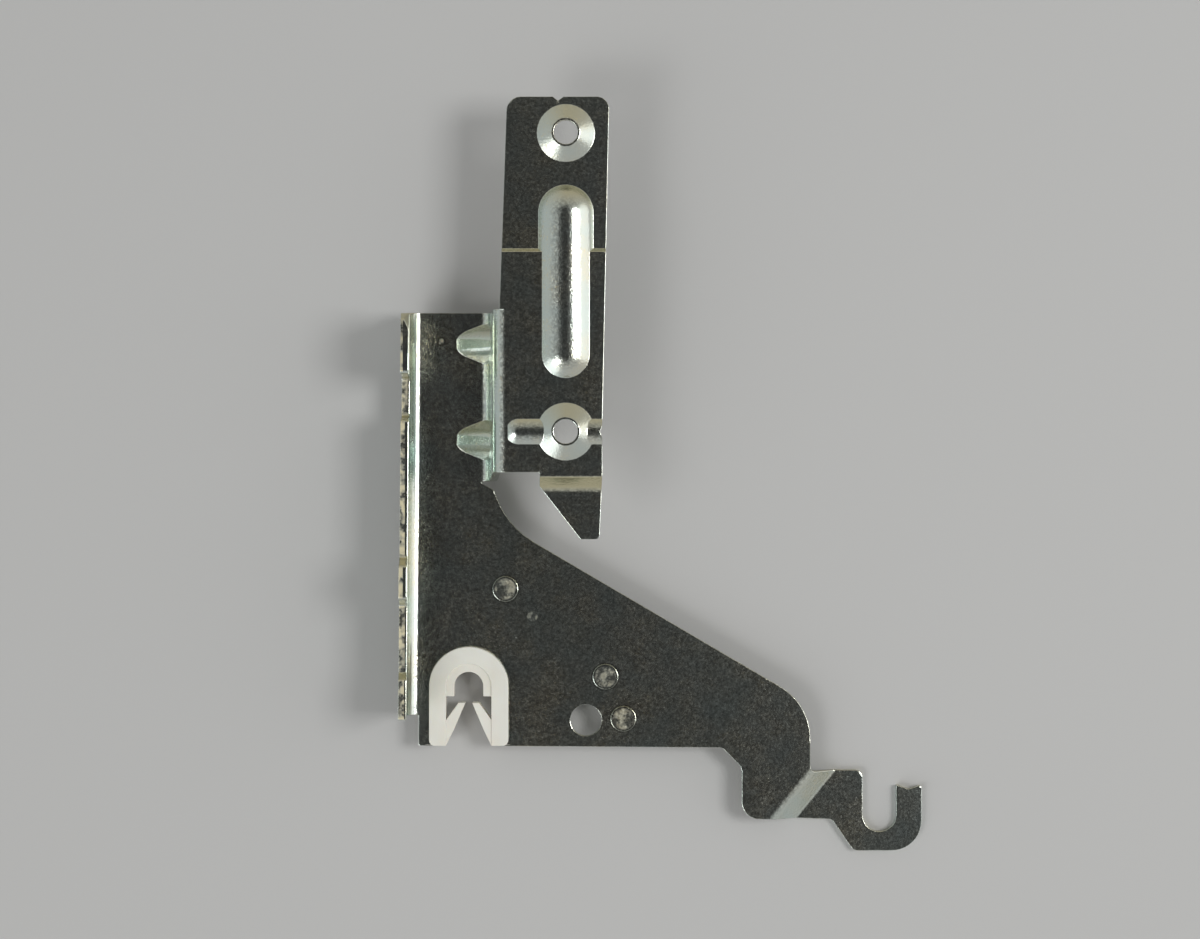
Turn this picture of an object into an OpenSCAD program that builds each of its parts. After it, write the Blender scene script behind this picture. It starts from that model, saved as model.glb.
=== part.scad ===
// Dishwasher door hinge: a folded and pressed sheet-steel bracket with a snap-in pivot bush.
// Frame: the pivot pin's axis is Z and the underside of the web is z = 0. The channel runs along
// +Y up to the screw arm, and the lever runs along +X to its hook.

/* [Sheet] */
// Thickness of the sheet steel
sheet_t = 2; // [1.6:0.1:2.4]
// Inside radius of the bend between web and flange
flange_bend_r = 2.9; // [2:0.1:3.1]
// Inside radius of the bend between web and wall
bend_r = 2.2; // [1.2:0.1:2.8]
// Inside radius of the bend between wall and arm
arm_bend_r = 1.5; // [1:0.1:2]
// Inside radius where the sheet is stepped
step_r = 1; // [0.6:0.1:1.4]
// Slope of the steps
step_angle = 43; // [38:1:50]

/* [Channel] */
// Outside of the side flange at its foot, measured from the pivot axis
flange_x = 17.2; // [16:0.1:18.5]
// Lean of the flange into the channel
flange_lean = 3; // [0:0.5:5]
// Clear width of the channel at its web
channel_w = 20.3; // [19.5:0.1:21]
// Height of the flange at its two high tabs
flange_h = 21.3; // [19:0.1:24]
// Height of the flange between its tabs
flange_low_h = 14.7; // [10:0.1:16]
// Height of the flange at its lower end
flange_end_h = 17.2; // [16.5:0.1:20]
// Height of the flange in its notch
flange_notch_h = 5.6; // [5.2:0.1:8]
// Turn of the flange against the wall, in plan
flange_toe = 0.45; // [0:0.05:0.8]
// Upper end of the channel
channel_top_y = 94; // [93.4:0.1:97]
// Upper end of the side flange
flange_top_y = 93; // [91.5:0.1:93.2]
// Lower end of the side flange
flange_low_y = -7.2; // [-9:0.1:-5]
// Lean of the wall away from upright
wall_lean = 6; // [3:1:9]
// Lower end of the wall at its foot
wall_foot_y = 51.6; // [51:0.1:52.5]
// Length of the bevel at the flange's upper corner
lead_in = 4; // [2:0.1:5]
// Steepness of that bevel
bevel_angle = 60; // [40:1:70]

/* [Flange tabs] */
// Lower end of the upper tab, where the notch starts
tab_a_low_y = 77.6; // [74:0.1:82]
// Lower end of the notch
notch_low_y = 67; // [60:0.1:70]
// Upper end of the middle tab
tab_b_top_y = 32.7; // [28:0.1:40]
// Length of the middle tab
tab_b_len = 11.5; // [8:0.1:16]
// Length of the lowest tab
tab_c_len = 11.6; // [6:0.1:14]
// How far the ends of the tabs slant
tab_slant = 1.6; // [0.6:0.1:2.4]

/* [Gussets] */
// Place of the upper gusset
gusset_y = 86.2; // [85.5:0.1:87]
// Distance between the two gussets
gusset_pitch = 24.2; // [20:0.1:26]
// Reach of a gusset over the web, from the wall
gusset_reach = 8.4; // [7:0.1:10]
// Rise of a gusset's crest over the web
gusset_angle = 36; // [32:1:42]
// Radius of a gusset's crest
gusset_crest_r = 4; // [3:0.1:5]
// Angle between a gusset's flanks, each to the middle
gusset_flank = 34; // [32:1:38]

/* [Arm] */
// Height of the arm's upper face over the underside of the web
arm_h = 18; // [16:0.5:22]
// Lower edge of the arm
arm_low_y = 53.9; // [53.6:0.1:55]
// Upper edge of the arm
arm_top_y = 146.4; // [145.8:0.1:152]
// Left edge of the arm where it leaves the channel
arm_low_left_x = 8.3; // [7.8:0.1:9]
// Left edge of the arm at its upper end
arm_top_left_x = 10.1; // [8:0.1:12]
// Right edge of the arm at its lower end
arm_low_right_x = 33.6; // [33:0.1:36]
// Right edge of the arm at its upper end
arm_top_right_x = 35.3; // [34:0.1:38]
// Radius of the arm's upper left corner
arm_left_corner_r = 3.5; // [1:0.1:5]
// Radius of the arm's upper right corner
arm_right_corner_r = 3; // [1:0.1:5]
// Line above which the arm is set back
setback_y = 108; // [104:0.1:112]
// Depth of that setback
setback = 1.2; // [0.6:0.1:1.5]
// Length of the slope into that setback
setback_run = 0.8; // [0.5:0.1:1.6]
// Place of the notch in the upper edge
notch_x = 22.7; // [16:0.1:30]
// Width of that notch
notch_w = 2.6; // [1:0.1:4]
// Depth of that notch
notch_depth = 1; // [0.4:0.1:1.4]

/* [Arm bead] */
// Line of the bead and of the two screw holes
bead_x = 24.6; // [24:0.1:25]
// Centre of the bead's lower round end
bead_low_y = 82.9; // [80:0.1:86]
// Distance between the centres of its round ends
bead_len = 35; // [25:0.5:37]
// Width of the bead where it leaves the arm
bead_w = 11.6; // [9:0.1:12]
// Height of the bead over the arm
bead_h = 2.5; // [1.5:0.1:3]

/* [Screw bosses] */
// Place of the lower screw hole
hole_low_y = 63.9; // [63:0.1:65]
// Distance between the two screw holes
hole_pitch = 73.5; // [72:0.1:74]
// Radius of a screw hole
hole_r = 2.95; // [2:0.05:3.1]
// Radius of a boss where it leaves the arm
boss_r = 7.1; // [6:0.1:7.4]
// Radius of a boss at its rim
boss_rim_r = 3.5; // [3.3:0.1:4.5]
// Height of a boss over the arm
boss_h = 2.2; // [1:0.1:3]
// Left end of the cross bead through the lower boss
cross_bead_x = 13; // [12.6:0.1:15]
// Width of the cross bead where it leaves the arm
cross_bead_w = 6.2; // [5:0.1:7]
// Height of the cross bead over the arm
cross_bead_h = 1.1; // [0.8:0.1:1.5]
// How far the arm's edge is drawn in where the cross bead runs out
cross_bead_draw = 0.6; // [0.2:0.1:1]

/* [Tongue] */
// Left edge of the tongue below the arm
tongue_x = 18.2; // [16:0.1:20]
// Length of that edge before it slants
tongue_side = 3.4; // [2:0.1:5]
// Fold line of the tongue, measured down from the arm's lower edge
tongue_fold = 1.5; // [1.2:0.1:2]
// Lower end of the tongue
tongue_low_y = 37.5; // [36.5:0.1:42]
// Right edge of the tongue at its lower end
tongue_right_x = 32.9; // [31:0.1:34]
// Width of the tongue at its lower end
tongue_tip_w = 4.6; // [3:0.1:8]
// Height of the tongue over the arm
tongue_rise = 2.8; // [2:0.1:3.6]

/* [Lever] */
// Left edge of the web below the flange
web_left_x = -12.7; // [-13.5:0.1:-12]
// Lower edge of the web and lever
lever_low_y = -15; // [-17:0.1:-14.5]
// Right edge of the lever
lever_right_x = 86; // [85:0.1:87]
// Corner of the lever at the foot of the wall, along X
crook_top_x = 6.2; // [5.6:0.1:6.6]
// The same corner, along Y
crook_top_y = 49.4; // [49:0.1:50]
// Corner of the crook below the arm, along X
crook_x = 9.8; // [9:0.1:11]
// Corner of the crook, along Y
crook_y = 40.1; // [38:0.1:42]
// Radius in the crook
crook_r = 22; // [14:0.5:26]
// Slope of the lever's upper edge
lever_slope = 30.4; // [28:0.1:31]
// How much the lever's lower edge falls on its way to the foot
lever_fall = 0.5; // [0.1:0.1:1]
// Radius between the lever's upper and right edges
shoulder_r = 14.8; // [10:0.1:15.5]
// Left edge of the lever's foot
foot_x = 68.8; // [67:0.1:71]
// Lower edge of the lever's foot
foot_low_y = -33.4; // [-34:0.1:-32.5]
// Radius of the foot's lower corner
foot_r = 4.2; // [2:0.1:6]
// Size of the slant between lever and foot
foot_slant = 5; // [4:0.1:6]

/* [Marks in the lever] */
// First half-sheared button, along X
button_a_x = 9.2; // [6:0.1:14]
// First button, along Y
button_a_y = 24.5; // [20:0.1:32]
// Second button, along X
button_b_x = 34.4; // [30:0.1:36]
// Second button, along Y
button_b_y = 2.4; // [1.5:0.1:8]
// Third button, along X
button_c_x = 38.9; // [38.5:0.1:44]
// Third button, along Y
button_c_y = -8.2; // [-10:0.1:-6]
// Radius of a button
button_r = 3.15; // [2.5:0.05:3.4]
// Height of a button over the lever
button_h = 0.7; // [0.4:0.1:1.2]
// Centre of the round hole, along X
lever_hole_x = 29.5; // [27:0.1:30]
// Centre of the round hole, along Y
lever_hole_y = -8.6; // [-10:0.1:-7]
// Radius of the round hole
lever_hole_r = 3.95; // [3:0.05:4.2]

/* [Hook] */
// Depth of the step from the lever down to the hook
hook_drop = 4.5; // [3.4:0.1:5.2]
// Direction of the hook's fold line
fold_angle = 51; // [48:1:54]
// Distance of the fold line from the pivot axis
fold_reach = 80.3; // [79:0.1:81]
// Middle line of the hook's mouth
mouth_x = 103.9; // [103:0.1:105]
// Width of the hook's mouth
mouth_w = 8.6; // [7:0.1:9]
// Bottom of the hook's mouth
mouth_low_y = -37.3; // [-37.6:0.1:-36]
// Width of the hook's finger
finger_w = 6.4; // [5:0.1:8]
// Top of the hook's finger
finger_top_y = -25.4; // [-28:0.1:-24]
// Depth of the hollow in the finger's top
finger_hollow = 1.2; // [0.4:0.1:1.6]
// Thickness of the hook below its mouth
hook_low_w = 4.8; // [4.2:0.1:6]
// Radius of the hook's outer corner
hook_r = 7.5; // [5:0.1:8]
// Upper edge of the hook's neck
neck_top_y = -21.7; // [-22.5:0.1:-21]
// Lower edge of the hook's neck
neck_low_y = -34.1; // [-34.8:0.1:-33.6]
// Place where the neck's lower edge turns down
neck_low_x = 91.8; // [91:0.1:93]
// Lean of the slanted edge from there to the hook's lower edge
hook_slant = 35; // [30:1:40]

/* [Bush] */
// Radius of the slot that the bush snaps into
slot_r = 7.6; // [7:0.1:8]
// Radius of the bush's flanges
bush_r = 9.95; // [9.5:0.05:11]
// Lower end of the bush's legs
bush_low_y = -14.9; // [-15.5:0.1:-14]
// Radius of the corners at the ends of the legs
leg_corner_r = 1.4; // [0.5:0.1:2]
// Thickness of each flange of the bush
bush_flange_t = 1.4; // [1:0.1:2]
// Half the clear width between the bush's legs
leg_inner_x = 5.7; // [5:0.1:6]
// Radius of the seat for the pivot pin
seat_r = 3.65; // [3:0.05:4.2]
// Lower end of the seat's straight sides
seat_low_y = -2.5; // [-3:0.1:-1]
// How far the ring round the seat lies below the bush's front face
ring_recess = 0.5; // [0.2:0.1:1]
// Gap between the tips of the two barbs
barb_gap = 1.7; // [1:0.1:2.4]
// Width of a barb at its tip
barb_tip_w = 1.7; // [1.2:0.1:2]
// Height of the barbs' tips, measured from the pivot axis
barb_top_y = -4.1; // [-5:0.1:-3.6]
// Place where a barb leaves its leg
barb_root_y = -9.1; // [-10:0.1:-8]
// Knee on the inner side of a barb, along X
barb_knee_x = 3.8; // [3.4:0.1:4.2]
// The same knee, along Y
barb_knee_y = -11; // [-12:0.1:-10.4]
// How far the barbs lie below the bush's front face
barb_recess = 0.3; // [0.1:0.1:0.8]
// Play between bush and sheet
bush_fit = 0.1; // [0.05:0.05:0.3]

/* [Hidden] */
$fn = 64;
steel = [0.36, 0.37, 0.32];
ivory = [0.91, 0.90, 0.86];
// Degrees of arc between two points of a rounded corner
arc_step = 9;
// Length of the cutters and blanks that pass every level of the sheet
tall = 60;
// Overlap of two stretches of the same sheet
lap = 0.5;

half_t = sheet_t / 2;
flange_in_x = sheet_t - flange_x;
// Foot of the wall's inner face, and how far the leaning wall moves over on its way up
wall_x = flange_in_x + channel_w;
wall_shift = (arm_h - sheet_t) * tan(wall_lean);
wall_turn = tan((90 - wall_lean) / 2);
web_flat_x = wall_x - bend_r * wall_turn;
flange_shift = (flange_h - sheet_t) * tan(flange_lean);
flange_flat_x = flange_in_x + flange_bend_r * tan((90 + flange_lean) / 2);
arm_flat_x = wall_x + wall_shift + (arm_bend_r + sheet_t) * wall_turn;
arm_back_h = arm_h - setback;
tab_b_low_y = tab_b_top_y - tab_b_len;
tab_c_top_y = flange_low_y + tab_c_len;
bead_end_y = bead_low_y + bead_len;
hole_top_y = hole_low_y + hole_pitch;
mouth_y = mouth_low_y + mouth_w / 2;
mouth_left_x = mouth_x - mouth_w / 2;
mouth_right_x = mouth_x + mouth_w / 2;
hook_right_x = mouth_right_x + finger_w;
hook_low_y = mouth_low_y - hook_low_w;
bush_front_z = sheet_t + bush_fit + bush_flange_t;
bush_back_z = -bush_fit - bush_flange_t;

// Outlines: a corner is [x, y, radius]
function place(c) = [c.x, c.y];
function unit(v) = v / norm(v);
function left_of(v) = [-v.y, v.x];
function corner_arc(p, q, s, r) = let(
    u = unit(p - q),
    v = unit(s - q),
    half = acos(u * v) / 2,
    centre = q + unit(u + v) * r / sin(half),
    first = q + u * r / tan(half) - centre,
    last = q + v * r / tan(half) - centre,
    start = atan2(first.y, first.x),
    sweep = (atan2(last.y, last.x) - start + 540) % 360 - 180,
    n = ceil(abs(sweep) / arc_step)
) [for (i = [0:n]) centre + r * [cos(start + sweep * i / n), sin(start + sweep * i / n)]];
function rounded(cs) = let(n = len(cs)) [
    for (i = [0:n - 1])
        each cs[i].z == 0
            ? [place(cs[i])]
            : corner_arc(place(cs[(i + n - 1) % n]), place(cs[i]), place(cs[(i + 1) % n]), cs[i].z)
];

// Section of the bent sheet: its middle follows a path of corners, with the radii of the middle
function face_corner(path, i, d) = let(
    q = place(path[i]),
    a = i == 0 ? unit(place(path[1]) - q) : unit(q - place(path[i - 1])),
    b = i == len(path) - 1 ? a : unit(place(path[i + 1]) - q),
    m = q + d * (left_of(a) + left_of(b)) / (1 + a * b),
    side = a.x * b.y - a.y * b.x > 0 ? 1 : -1
) [m.x, m.y, path[i].z == 0 ? 0 : path[i].z - d * side];
function sheet_section(path) = rounded(concat(
    [for (i = [0:len(path) - 1]) face_corner(path, i, half_t)],
    [for (i = [len(path) - 1:-1:0]) face_corner(path, i, -half_t)]
));

// A section drawn in X and Z, extruded from y0 to y1
module along_y(y0, y1) {
    translate([0, y1, 0]) rotate([90, 0, 0]) linear_extrude(y1 - y0) children();
}

// A section drawn in Y and Z, extruded from x0 to x1
module along_x(x0, x1) {
    translate([x0, 0, 0]) rotate([90, 0, 90]) linear_extrude(x1 - x0) children();
}

// Round-topped bead along +Y, len long between its end centres, w wide and h high at z = 0
module bead(len, w, h) {
    r = (w * w / 4 + h * h) / (2 * h);
    translate([0, 0, h - r]) {
        rotate([-90, 0, 0]) cylinder(r = r, h = len);
        sphere(r);
        translate([0, len, 0]) sphere(r);
    }
}

// Outline of the flange seen from its side, in Y and Z
module flange_outline() {
    polygon(rounded([
        [channel_top_y, -lap, 0],
        [channel_top_y, sheet_t + lap, 0],
        [flange_top_y, flange_notch_h, 0],
        [flange_top_y, flange_h - 2 * tab_slant, 1],
        [flange_top_y - tab_slant, flange_h, 1],
        [tab_a_low_y + tab_slant / 4, flange_h, 1],
        [tab_a_low_y, flange_notch_h, 1],
        [notch_low_y + tab_slant / 2, flange_notch_h, 1],
        [notch_low_y, flange_low_h, 1],
        [tab_b_top_y, flange_low_h, 1],
        [tab_b_top_y - tab_slant, flange_h, 1],
        [tab_b_low_y + tab_slant, flange_h, 1],
        [tab_b_low_y, flange_low_h, 1],
        [tab_c_top_y, flange_low_h, 0.5],
        [tab_c_top_y - tab_slant, flange_end_h, 0.5],
        [flange_low_y, flange_end_h, 0.5],
        [flange_low_y, -lap, 0]
    ]));
}

// Side flange with its bend and the flat of the web
module flange_sheet() {
    middle_y = (channel_top_y + flange_low_y) / 2;
    turn = half_t * (1 - tan((90 - flange_lean) / 2));
    intersection() {
        translate([0, middle_y, 0]) rotate([0, 0, -flange_toe])
            along_y(flange_low_y - middle_y - lap, channel_top_y - middle_y + lap)
                polygon(sheet_section([
                    [half_t - flange_x + flange_shift + tall * tan(flange_lean), flange_h + tall, 0],
                    [half_t - flange_x + turn, half_t, flange_bend_r + half_t],
                    [web_flat_x, half_t, 0]
                ]));
        along_x(-2 * flange_x, web_flat_x + tall) flange_outline();
    }
}

// Bevel over the upper corner of the flange, from its inner face to its outer one
module flange_bevel() {
    reach = lead_in + sheet_t;
    toe_x = (flange_top_y - flange_low_y) / 2 * tan(flange_toe);
    translate([flange_in_x + flange_shift + toe_x, flange_top_y - lead_in, flange_h])
        rotate([0, 0, atan2(lead_in, -sheet_t)]) rotate([bevel_angle, 0, 0])
            translate([-lap, -2 * sheet_t, 0]) cube([reach, 2 * sheet_t, 2 * sheet_t]);
}

// Edge of the web, leaning wall and the bend into the arm
module wall_sheet() {
    turn = half_t * wall_turn;
    difference() {
        along_y(wall_foot_y, channel_top_y) polygon(sheet_section([
            [web_flat_x - 2 * lap, half_t, 0],
            [wall_x + turn, half_t, bend_r + half_t],
            [wall_x + wall_shift + turn, arm_h - half_t, arm_bend_r + half_t],
            [arm_flat_x + 2 * lap, arm_h - half_t, 0]
        ]));
        along_x(web_flat_x, arm_flat_x + tall) polygon([
            [wall_foot_y, sheet_t],
            [arm_low_y, arm_h - sheet_t],
            [arm_low_y, arm_h + sheet_t],
            [0, arm_h + sheet_t],
            [0, sheet_t]
        ]);
    }
}

// Bar with the round crest of a gusset, rising to the wall and widening downward to its depth
module gusset_bar(crest_r, depth) {
    peak = crest_r * (1 / sin(gusset_flank) - 1);
    half_w = (depth + peak) * tan(gusset_flank);
    translate([wall_x - gusset_reach, 0, sheet_t]) rotate([0, 90 - gusset_angle, 0])
        translate([0, 0, -tall / 2]) linear_extrude(tall) polygon(rounded([
            [-peak, 0, crest_r],
            [depth, -half_w, 0],
            [depth, half_w, 0]
        ]));
}

// Material of a gusset in front of the fold
module gusset() {
    tip_x = wall_x - gusset_reach;
    head_x = wall_x + half_t + gusset_reach * tan(wall_lean);
    intersection() {
        gusset_bar(gusset_crest_r, tall / 4);
        along_y(-gusset_reach, gusset_reach) polygon([
            [tip_x - half_t, half_t],
            [web_flat_x, half_t],
            [wall_x, sheet_t],
            [head_x, sheet_t + (head_x - tip_x) * tan(gusset_angle)]
        ]);
    }
}

// Dent that the punch leaves behind a gusset
module gusset_dent() {
    tip_x = wall_x - gusset_reach;
    back_x = wall_x + wall_shift + sheet_t + lap;
    back_h = arm_h - sheet_t - lap;
    intersection() {
        translate([sheet_t * sin(gusset_angle), 0, -sheet_t * cos(gusset_angle)])
            gusset_bar(gusset_crest_r - sheet_t, tall / 4);
        along_y(-gusset_reach, gusset_reach)
            polygon([[tip_x, -sheet_t], [back_x, -sheet_t], [back_x, back_h], [tip_x, back_h]]);
    }
}

module at_gussets() {
    for (i = [0, 1]) translate([0, gusset_y - i * gusset_pitch, 0]) children();
}

// Plan of the arm and its tongue
module arm_plan() {
    draw_y = cross_bead_w / 4;
    polygon(rounded([
        [arm_flat_x + lap, arm_low_y, 0],
        [arm_flat_x + lap, channel_top_y, 0],
        [arm_low_left_x, channel_top_y, 0],
        [arm_top_left_x, arm_top_y, arm_left_corner_r],
        [notch_x - notch_w / 2, arm_top_y, 0],
        [notch_x, arm_top_y - notch_depth, notch_w / 8],
        [notch_x + notch_w / 2, arm_top_y, 0],
        [arm_top_right_x, arm_top_y, arm_right_corner_r],
        [arm_low_right_x, hole_low_y + draw_y, 0],
        [arm_low_right_x - cross_bead_draw, hole_low_y, 0],
        [arm_low_right_x, hole_low_y - draw_y, 0],
        [arm_low_right_x, arm_low_y, 0],
        [tongue_right_x, tongue_low_y, 1],
        [tongue_right_x - tongue_tip_w, tongue_low_y, 0.5],
        [tongue_x, arm_low_y - tongue_side, 0.5],
        [tongue_x, arm_low_y, 0.4]
    ]));
}

// Arm as a stepped sheet, before its outline is cut
module arm_slab() {
    fold_y = arm_low_y - tongue_fold;
    along_x(0, tall) polygon(sheet_section([
        [arm_top_y + lap, arm_back_h - half_t, 0],
        [setback_y + setback_run / 2, arm_back_h - half_t, 0],
        [setback_y - setback_run / 2, arm_h - half_t, 0],
        [fold_y, arm_h - half_t, step_r + half_t],
        [fold_y - tongue_rise / tan(step_angle), arm_h - half_t + tongue_rise, step_r + half_t],
        [tongue_low_y - lap, arm_h - half_t + tongue_rise, 0]
    ]));
}

// Cone of a screw boss on a face at z = 0, going on below that face
module boss_cone() {
    flare = (boss_r - boss_rim_r) / boss_h * half_t;
    translate([0, 0, -half_t]) cylinder(r1 = boss_r + flare, r2 = boss_rim_r, h = boss_h + half_t);
}

// Forms that are pressed up out of the arm: its bead, the cross bead and the two bosses
module arm_forms() {
    intersection() {
        union() {
            translate([bead_x, bead_low_y, arm_h]) bead(bead_len, bead_w, bead_h);
            translate([cross_bead_x, hole_low_y, arm_h])
                rotate([0, 0, -90]) bead(tall, cross_bead_w, cross_bead_h);
            translate([bead_x, hole_low_y, arm_h]) boss_cone();
            translate([bead_x, hole_top_y, arm_back_h]) boss_cone();
        }
        translate([0, 0, arm_back_h - half_t]) cube([tall, 3 * tall, tall]);
    }
}

module arm_sheet() {
    intersection() {
        linear_extrude(tall) arm_plan();
        union() {
            arm_slab();
            arm_forms();
        }
    }
}

// Plan of the web's lower part, the lever and the hook
module lever_plan() {
    shoulder_y = crook_y - (lever_right_x - crook_x) * tan(lever_slope);
    overlap_y = wall_foot_y + sheet_t;
    web_left_flat_x = flange_flat_x + 2 * lap;
    hook_slant_x = neck_low_x + (neck_low_y - hook_low_y) * tan(hook_slant);
    polygon(rounded([
        [web_left_x, lever_low_y, lap],
        [foot_x - foot_slant, lever_low_y - lever_fall, 2],
        [foot_x, lever_low_y - lever_fall - foot_slant, 3],
        [foot_x, foot_low_y, foot_r],
        [neck_low_x, neck_low_y, 1.5],
        [hook_slant_x, hook_low_y, 1.5],
        [hook_right_x, hook_low_y, hook_r],
        [hook_right_x, finger_top_y, 0.6],
        [(mouth_right_x + hook_right_x) / 2, finger_top_y - finger_hollow, 1.2],
        [mouth_right_x, finger_top_y, 0.3],
        [mouth_right_x, mouth_y, 0],
        [mouth_left_x, mouth_y, 0],
        [mouth_left_x, neck_top_y, 1.8],
        [lever_right_x, neck_top_y, 1.5],
        [lever_right_x, shoulder_y, shoulder_r],
        [crook_x, crook_y, crook_r],
        [crook_top_x, crook_top_y, 0.8],
        [web_flat_x - lap, wall_foot_y - 0.2, 0],
        [web_flat_x - lap, overlap_y, 0],
        [web_left_flat_x, overlap_y, 0],
        [web_left_flat_x, flange_low_y, 0],
        [web_left_x, flange_low_y, 0]
    ]));
}

// Lever as a sheet that steps down to the hook, before its outline is cut
module lever_slab() {
    rotate([0, 0, fold_angle - 90]) along_y(-3 * tall, 3 * tall) polygon(sheet_section([
        [-3 * tall, half_t, 0],
        [fold_reach, half_t, step_r + half_t],
        [fold_reach + hook_drop / tan(step_angle), half_t - hook_drop, step_r + half_t],
        [3 * tall, half_t - hook_drop, 0]
    ]));
}

module lever_sheet() {
    intersection() {
        translate([0, 0, -tall / 2]) linear_extrude(tall) lever_plan();
        lever_slab();
    }
}

module at_buttons() {
    centres = [[button_a_x, button_a_y], [button_b_x, button_b_y], [button_c_x, button_c_y]];
    for (c = centres) translate([c.x, c.y, 0]) children();
}

// Slot that is open at the lower edge of the web, where the bush sits
module bush_slot() {
    translate([0, 0, -lap]) {
        cylinder(r = slot_r, h = sheet_t + 2 * lap);
        translate([-slot_r, 2 * lever_low_y, 0])
            cube([2 * slot_r, -2 * lever_low_y, sheet_t + 2 * lap]);
    }
}

module hinge_bracket() {
    color(steel) difference() {
        union() {
            difference() {
                flange_sheet();
                flange_bevel();
            }
            wall_sheet();
            arm_sheet();
            lever_sheet();
            at_gussets() gusset();
            at_buttons() cylinder(r = button_r, h = sheet_t + button_h);
        }
        at_gussets() gusset_dent();
        translate([0, 0, -sheet_t]) arm_forms();
        for (y = [hole_low_y, hole_top_y])
            translate([bead_x, y, arm_h - tall / 4]) cylinder(r = hole_r, h = tall / 2);
        at_buttons() translate([0, 0, -lap]) cylinder(r = button_r, h = button_h + lap);
        translate([lever_hole_x, lever_hole_y, -lap]) cylinder(r = lever_hole_r, h = sheet_t + 2 * lap);
        translate([mouth_x, mouth_y, -tall / 2]) cylinder(r = mouth_w / 2, h = tall);
        bush_slot();
    }
}

// Arch with straight legs down to low_y
module arch(r, low_y, corner_r, h) {
    cylinder(r = r, h = h);
    linear_extrude(h) polygon(rounded([
        [-r, 0, 0],
        [-r, low_y, corner_r],
        [r, low_y, corner_r],
        [r, 0, 0]
    ]));
}

// Sprung barb of the right leg, in plan
module barb_plan() {
    tip_x = barb_gap / 2;
    polygon([
        [tip_x, barb_top_y],
        [tip_x + barb_tip_w, barb_top_y],
        [leg_inner_x + lap, barb_root_y],
        [leg_inner_x + lap, bush_low_y + leg_corner_r],
        [leg_inner_x, bush_low_y],
        [barb_knee_x, barb_knee_y]
    ]);
}

module pivot_bush() {
    depth = bush_front_z - bush_back_z;
    color(ivory) {
        difference() {
            union() {
                translate([0, 0, bush_back_z]) arch(bush_r, bush_low_y, leg_corner_r, bush_flange_t);
                translate([0, 0, bush_back_z]) arch(slot_r - bush_fit, bush_low_y, leg_corner_r, depth);
                translate([0, 0, sheet_t + bush_fit])
                    arch(bush_r, bush_low_y, leg_corner_r, bush_flange_t);
            }
            translate([-leg_inner_x, 2 * bush_low_y, bush_back_z - lap])
                cube([2 * leg_inner_x, seat_low_y - 2 * bush_low_y, depth + 2 * lap]);
            translate([0, 0, bush_back_z - lap])
                arch(seat_r, seat_low_y - lap, 0, depth + 2 * lap);
            translate([0, 0, bush_front_z - ring_recess])
                arch(leg_inner_x, seat_low_y - lap, 0, ring_recess + lap);
        }
        for (side = [0, 1]) mirror([side, 0, 0]) translate([0, 0, bush_back_z])
            linear_extrude(depth - barb_recess) barb_plan();
    }
}

hinge_bracket();
pivot_bush();
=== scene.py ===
"""Dishwasher door hinge: the looks of its two pieces, on the frame that the CAD gives."""

import math

import bmesh
import bpy
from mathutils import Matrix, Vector


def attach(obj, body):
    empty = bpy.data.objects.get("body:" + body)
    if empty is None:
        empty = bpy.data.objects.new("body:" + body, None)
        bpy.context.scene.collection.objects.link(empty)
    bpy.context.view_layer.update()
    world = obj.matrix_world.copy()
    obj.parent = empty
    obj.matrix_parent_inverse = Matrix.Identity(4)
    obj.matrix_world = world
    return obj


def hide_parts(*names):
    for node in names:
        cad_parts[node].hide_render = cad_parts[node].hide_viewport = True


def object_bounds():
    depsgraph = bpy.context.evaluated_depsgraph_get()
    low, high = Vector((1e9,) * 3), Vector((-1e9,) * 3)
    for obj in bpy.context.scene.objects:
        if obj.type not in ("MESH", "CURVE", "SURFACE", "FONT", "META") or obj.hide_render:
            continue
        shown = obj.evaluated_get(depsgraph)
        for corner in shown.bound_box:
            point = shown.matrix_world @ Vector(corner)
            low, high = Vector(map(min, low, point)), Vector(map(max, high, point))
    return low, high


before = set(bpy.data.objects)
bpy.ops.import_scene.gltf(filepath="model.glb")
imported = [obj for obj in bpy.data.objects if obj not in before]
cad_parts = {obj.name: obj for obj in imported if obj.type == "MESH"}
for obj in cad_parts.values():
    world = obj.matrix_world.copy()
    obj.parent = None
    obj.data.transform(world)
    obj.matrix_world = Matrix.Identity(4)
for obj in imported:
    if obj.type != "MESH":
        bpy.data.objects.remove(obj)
cad_lo, cad_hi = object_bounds()
scene = bpy.context.scene
scene.view_settings.view_transform = "Standard"

MM = 0.001
FLOOR_Z = cad_lo.z

# ------------------------------------------------------------------ camera

PHOTO_W = 1200
MM_PER_PIXEL = 0.2545
CAMERA_HEIGHT = 650 * MM
VIEW_CENTRE = (33.03 * MM, 54.58 * MM)

cam_data = bpy.data.cameras.new("camera")
cam = bpy.data.objects.new("camera", cam_data)
scene.collection.objects.link(cam)
cam.location = (*VIEW_CENTRE, FLOOR_Z + CAMERA_HEIGHT)
cam_data.sensor_width = 36
cam_data.lens = 36 * CAMERA_HEIGHT / (PHOTO_W * MM_PER_PIXEL * MM)
cam_data.clip_start, cam_data.clip_end = 0.05, 20
scene.camera = cam


# ------------------------------------------------------------------ node helpers


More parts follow.
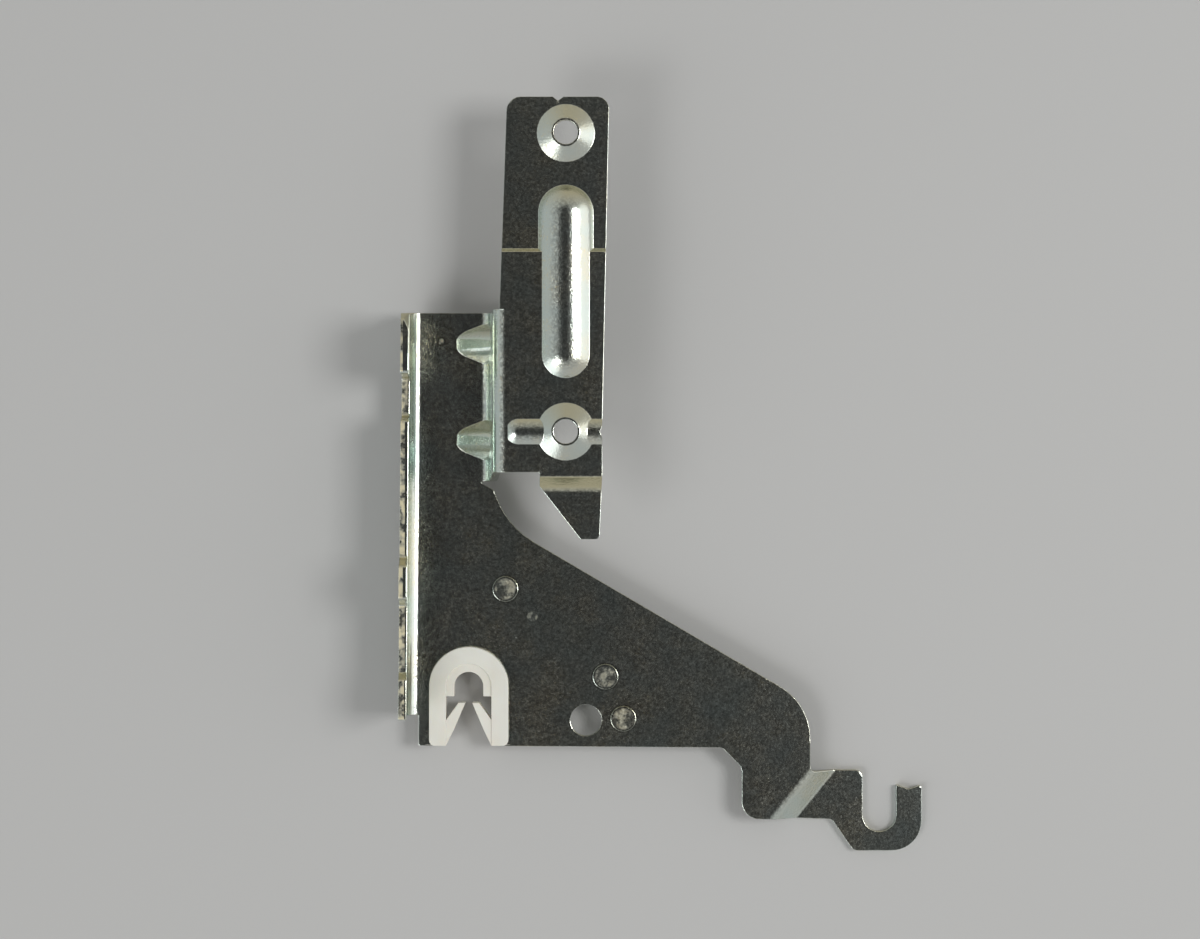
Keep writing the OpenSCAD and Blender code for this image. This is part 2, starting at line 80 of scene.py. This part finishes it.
class Nodes:
    """Short names for the making and linking of shader nodes."""

    def __init__(self, tree):
        self.tree = tree
        tree.nodes.clear()

    def add(self, kind, **values):
        node = self.tree.nodes.new(kind)
        for key, value in values.items():
            if hasattr(node, key):
                setattr(node, key, value)
            else:
                self.put(node.inputs[key.replace("_", " ")], value)
        return node

    def put(self, socket, value):
        if isinstance(value, bpy.types.NodeSocket):
            self.tree.links.new(value, socket)
        elif isinstance(value, bpy.types.Node):
            self.tree.links.new(value.outputs[0], socket)
        else:
            socket.default_value = value

    def math(self, op, a, b=0.0, c=None, clamp=False):
        node = self.add("ShaderNodeMath", operation=op, use_clamp=clamp)
        self.put(node.inputs[0], a)
        self.put(node.inputs[1], b)
        if c is not None:
            self.put(node.inputs[2], c)
        return node.outputs[0]

    def ramp(self, fac, stops, interpolation="LINEAR"):
        node = self.add("ShaderNodeValToRGB")
        ramp = node.color_ramp
        ramp.interpolation = interpolation
        while len(ramp.elements) < len(stops):
            ramp.elements.new(0.5)
        for element, (pos, colour) in zip(ramp.elements, stops):
            element.position = pos
            if isinstance(colour, (int, float)):
                colour = (colour, colour, colour)
            element.color = (*colour, 1)
        self.put(node.inputs[0], fac)
        return node.outputs[0]

    def mix(self, fac, a, b, blend="MIX"):
        node = self.add("ShaderNodeMix", data_type="RGBA", blend_type=blend)
        self.put(node.inputs[0], fac)
        for socket, value in ((node.inputs[6], a), (node.inputs[7], b)):
            if isinstance(value, tuple):
                value = (*value, 1) if len(value) == 3 else value
            self.put(socket, value)
        return node.outputs[2]

    def noise(self, coord, size_mm, detail=2.0, rough=0.5):
        return self.add(
            "ShaderNodeTexNoise", Vector=coord, Scale=1000 / size_mm, Detail=detail, Roughness=rough
        ).outputs[0]


def material(name):
    mat = bpy.data.materials.new(name)
    mat.use_nodes = True
    return mat, Nodes(mat.node_tree)


# ------------------------------------------------------------------ meshes

WELD = 2e-6
FLAT_ANGLE = math.radians(0.4)
CREASE_ANGLE = math.radians(24)
LARGE_FACES_FIRST = 90


def dressed(node, name, edge_r):
    """A copy of a CAD node's mesh with its sharp edges rounded, as a pressed or moulded piece has."""
    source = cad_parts[node]
    mesh = source.data.copy()
    mesh.name = name
    mesh.transform(source.matrix_world)
    obj = bpy.data.objects.new(name, mesh)
    scene.collection.objects.link(obj)
    bm = bmesh.new()
    bm.from_mesh(mesh)
    bmesh.ops.remove_doubles(bm, verts=bm.verts, dist=WELD)
    bmesh.ops.dissolve_limit(
        bm, angle_limit=FLAT_ANGLE, verts=bm.verts, edges=bm.edges, use_dissolve_boundaries=False
    )
    sharp = [e for e in bm.edges if len(e.link_faces) == 2 and e.calc_face_angle(0) > CREASE_ANGLE]
    bmesh.ops.bevel(
        bm, geom=sharp, offset=edge_r, offset_type="OFFSET", segments=2, profile=0.5,
        affect="EDGES", clamp_overlap=False,
    )
    bmesh.ops.triangulate(bm, faces=[f for f in bm.faces if len(f.verts) > 4])
    for face in bm.faces:
        face.smooth = True
    bm.to_mesh(mesh)
    bm.free()
    mesh.set_sharp_from_angle(angle=CREASE_ANGLE)
    weigh = obj.modifiers.new("weigh", "WEIGHTED_NORMAL")
    weigh.keep_sharp = True
    weigh.weight = LARGE_FACES_FIRST
    return obj


# ------------------------------------------------------------------ zinc-plated steel

# places and radii of the marks in mm, heights of the flange in m
BUTTONS = ((9.2, 24.5), (34.4, 2.4), (38.9, -8.2))
BUTTON_R = 3.15
DOT, DOT_R = (-7.0, 86.8), 1.0
PIMPLE, PIMPLE_R = (16.0, 17.6), 1.3
FLANGE_EDGE_ABOVE_Z = 0.0045
FLANGE_EDGE_LEFT_OF_X = -0.0152


def zinc():
    mat, n = material("passivated_zinc")
    place = n.add("ShaderNodeTexCoord")
    coord = place.outputs["Object"]
    split = n.add("ShaderNodeSeparateXYZ", Vector=coord).outputs
    tilt = n.add("ShaderNodeSeparateXYZ", Vector=place.outputs["Normal"]).outputs
    bsdf = n.add("ShaderNodeBsdfPrincipled", Metallic=1.0, Roughness=0.3)
    out = n.add("ShaderNodeOutputMaterial")
    n.put(out.inputs[0], bsdf.outputs[0])

    def off_centre(x, y):
        """Distance in mm from the upright axis through x, y."""
        dx = n.math("MULTIPLY_ADD", split[0], 1000.0, -x)
        dy = n.math("MULTIPLY_ADD", split[1], 1000.0, -y)
        return n.math("SQRT", n.math("ADD", n.math("MULTIPLY", dx, dx), n.math("MULTIPLY", dy, dy)))

    def inside(value, edge, soft):
        """1 where value lies below edge, 0 above it."""
        return n.math("DIVIDE", n.math("SUBTRACT", edge + soft, value), 2 * soft, clamp=True)

    def most(values):
        total = values[0]
        for value in values[1:]:
            total = n.math("MAXIMUM", total, value)
        return total

    away = [off_centre(x, y) for x, y in BUTTONS]
    discs = most([inside(d, BUTTON_R - 0.5, 0.25) for d in away])
    # painted shade: thin rings at the edges of the buttons and the dot, darkened further below
    ring_shade = most([inside(n.math("ABSOLUTE", n.math("SUBTRACT", d, BUTTON_R)), 0.35, 0.15) for d in away])
    dot = off_centre(*DOT)
    dot_ring_shade = inside(n.math("ABSOLUTE", n.math("SUBTRACT", dot, DOT_R)), 0.2, 0.12)
    marks = most([discs, inside(dot, 0.7, 0.15), inside(off_centre(*PIMPLE), PIMPLE_R, 0.2)])
    up = inside(n.math("SUBTRACT", 0.0, tilt[2]), -0.9, 0.05)
    marks = n.math("MULTIPLY", marks, up)
    ring_shade = n.math("MULTIPLY", n.math("MAXIMUM", ring_shade, dot_ring_shade), up)

    # sheared edge of the side flange
    high = n.math("GREATER_THAN", split[2], FLANGE_EDGE_ABOVE_Z)
    left = n.math("LESS_THAN", split[0], FLANGE_EDGE_LEFT_OF_X)
    shear = n.math("MULTIPLY", n.math("MULTIPLY", high, left), up)

    fine = n.noise(coord, 0.55, 1.5, 0.55)
    grain = n.noise(coord, 0.22, 1.0, 0.5)
    cloud = n.noise(coord, 13, 3.0, 0.6)
    gold = n.noise(coord, 0.6, 1.0, 0.5)

    # painted reflections: slopes that face up the arm are tinted golden and those that face left teal, as if
    # they mirrored the studio's warm and cool walls
    colour = n.ramp(cloud, [(0.3, (0.60, 0.67, 0.63)), (0.5, (0.64, 0.67, 0.60)), (0.7, (0.70, 0.68, 0.56))])
    colour = n.mix(n.math("MULTIPLY", tilt[1], 1.7, clamp=True), colour, (0.60, 0.56, 0.37))
    colour = n.mix(n.math("MULTIPLY", tilt[0], -0.8, clamp=True), colour, (0.62, 0.76, 0.74))
    glint = n.ramp(gold, [(0.6, 0.0), (0.72, 1.0)])
    spread = n.ramp(cloud, [(0.42, 0.1), (0.62, 1.0)])
    colour = n.mix(n.math("MULTIPLY", n.math("MULTIPLY", glint, spread), 0.45), colour, (0.80, 0.70, 0.42))
    # painted glints: the colour of up-facing flats is multiplied by a speckle of darker and lighter grains,
    # standing in for the orange peel catching light
    peel_glint_noise = n.noise(coord, 0.8, 2.0, 0.6)
    glint_speck = n.ramp(peel_glint_noise, [(0.36, 0.66), (0.5, 0.9), (0.66, 1.3)])
    flat = n.math("MULTIPLY", up, n.math("MULTIPLY_ADD", spread, 0.45, 0.55))
    colour = n.mix(flat, colour, n.mix(1.0, colour, glint_speck, "MULTIPLY"))
    # painted shade: a dark outline round the buttons and the dot, where their edges lie in shade
    colour = n.mix(n.math("MULTIPLY", ring_shade, 0.45), colour, (0.06, 0.06, 0.04))
    patch = n.ramp(n.noise(coord, 2.2, 2.0, 0.6), [(0.4, 0.1), (0.6, 0.9)])
    pale = n.math("MAXIMUM", n.math("MULTIPLY", marks, 0.5), shear)
    pale = n.math("MULTIPLY", pale, patch)
    n.put(bsdf.inputs["Base Color"], n.mix(pale, colour, (0.80, 0.73, 0.50)))
    rough = n.math("MULTIPLY_ADD", fine, 0.12, 0.14)
    n.put(bsdf.inputs["Roughness"], n.math("MULTIPLY_ADD", pale, 0.4, rough))

    height = n.math("MULTIPLY_ADD", grain, 0.25, fine)
    height = n.math("MULTIPLY", height, n.math("MULTIPLY_ADD", spread, 0.5, 0.5))
    bump = n.add("ShaderNodeBump", Strength=0.6, Distance=0.00011, Height=height)
    n.put(bsdf.inputs["Normal"], bump)
    return mat


def ivory():
    mat, n = material("ivory_plastic")
    coord = n.add("ShaderNodeTexCoord").outputs["Object"]
    bsdf = n.add("ShaderNodeBsdfPrincipled", Roughness=0.42)
    out = n.add("ShaderNodeOutputMaterial")
    n.put(out.inputs[0], bsdf.outputs[0])
    cloud = n.noise(coord, 9, 2.0, 0.5)
    n.put(bsdf.inputs["Base Color"], n.ramp(cloud, [(0.3, (0.77, 0.73, 0.64)), (0.7, (0.82, 0.79, 0.71))]))
    fine = n.noise(coord, 0.5, 2.0, 0.5)
    n.put(bsdf.inputs["Normal"], n.add("ShaderNodeBump", Strength=0.15, Distance=0.00008, Height=fine))
    n.put(bsdf.inputs["Subsurface Weight"], 0.08)
    return mat


STEEL_EDGE_R = 0.12 * MM
BUSH_EDGE_R = 0.18 * MM

bracket = dressed("hinge_bracket", "bracket", STEEL_EDGE_R)
bush = dressed("pivot_bush", "bush", BUSH_EDGE_R)
for piece, node, slot, mat in (
    (bracket, "hinge_bracket", "steel", zinc()),
    (bush, "pivot_bush", "ivory_plastic", ivory()),
):
    piece.data.materials.clear()
    piece.data.materials.append(mat)
    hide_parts(node)
    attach(piece, "root")


# ------------------------------------------------------------------ floor and light


def area(name, azimuth, elevation, distance, size, power):
    """A square soft lamp that points at the middle of the part."""
    data = bpy.data.lights.new(name, "AREA")
    data.shape = "SQUARE"
    data.size = size
    data.energy = power
    lamp = bpy.data.objects.new(name, data)
    scene.collection.objects.link(lamp)
    a, e = math.radians(azimuth), math.radians(elevation)
    way = Vector((math.cos(a) * math.cos(e), math.sin(a) * math.cos(e), math.sin(e)))
    target = Vector((*VIEW_CENTRE, FLOOR_Z))
    lamp.location = target + way * distance
    lamp.rotation_euler = (-way).to_track_quat("-Z", "Y").to_euler()


area("lamp_right", 6, 54, 1.3, 0.42, 6)
area("lamp_left", 215, 50, 1.3, 0.45, 3)

world = bpy.data.worlds.new("studio")
scene.world = world
world.use_nodes = True
w = Nodes(world.node_tree)
way = w.add("ShaderNodeTexCoord").outputs["Generated"]
up = w.add("ShaderNodeSeparateXYZ", Vector=way).outputs[2]
sky = w.ramp(up, [(0.0, 0.52), (0.6, 0.5), (0.86, 0.36), (0.95, 0.036), (1.0, 0.021)])


def panel(azimuth, elevation, inner, outer, level):
    """Soft bright patch of the studio's wall, seen in the steel's slopes."""
    a, e = math.radians(azimuth), math.radians(elevation)
    aim = (math.cos(a) * math.cos(e), math.sin(a) * math.cos(e), math.sin(e))
    node = w.add("ShaderNodeVectorMath", operation="DOT_PRODUCT")
    w.put(node.inputs[0], way)
    node.inputs[1].default_value = aim
    low, high = math.cos(math.radians(outer)), math.cos(math.radians(inner))
    return w.ramp(node.outputs[1], [(low, 0.0), (high, level)], "EASE")


sky = w.mix(1.0, sky, panel(222, 22, 12, 30, 1.0), "ADD")
sky = w.mix(1.0, sky, panel(4, 20, 12, 30, 0.8), "ADD")
background = w.add("ShaderNodeBackground", Color=sky, Strength=1.0)
w.put(w.add("ShaderNodeOutputWorld").inputs[0], background.outputs[0])

floor_mesh = bpy.data.meshes.new("floor")
far = 3.0
floor_mesh.from_pydata([(-far, -far, 0), (far, -far, 0), (far, far, 0), (-far, far, 0)], [], [(0, 1, 2, 3)])
floor = bpy.data.objects.new("floor", floor_mesh)
floor.location = (*VIEW_CENTRE, FLOOR_Z)
scene.collection.objects.link(floor)
floor_mat, f = material("pale_floor")
floor_bsdf = f.add("ShaderNodeBsdfPrincipled", Roughness=0.8)
floor_bsdf.inputs["Base Color"].default_value = (0.5, 0.5, 0.49, 1)
f.put(f.add("ShaderNodeOutputMaterial").inputs[0], floor_bsdf.outputs[0])
floor_mesh.materials.append(floor_mat)
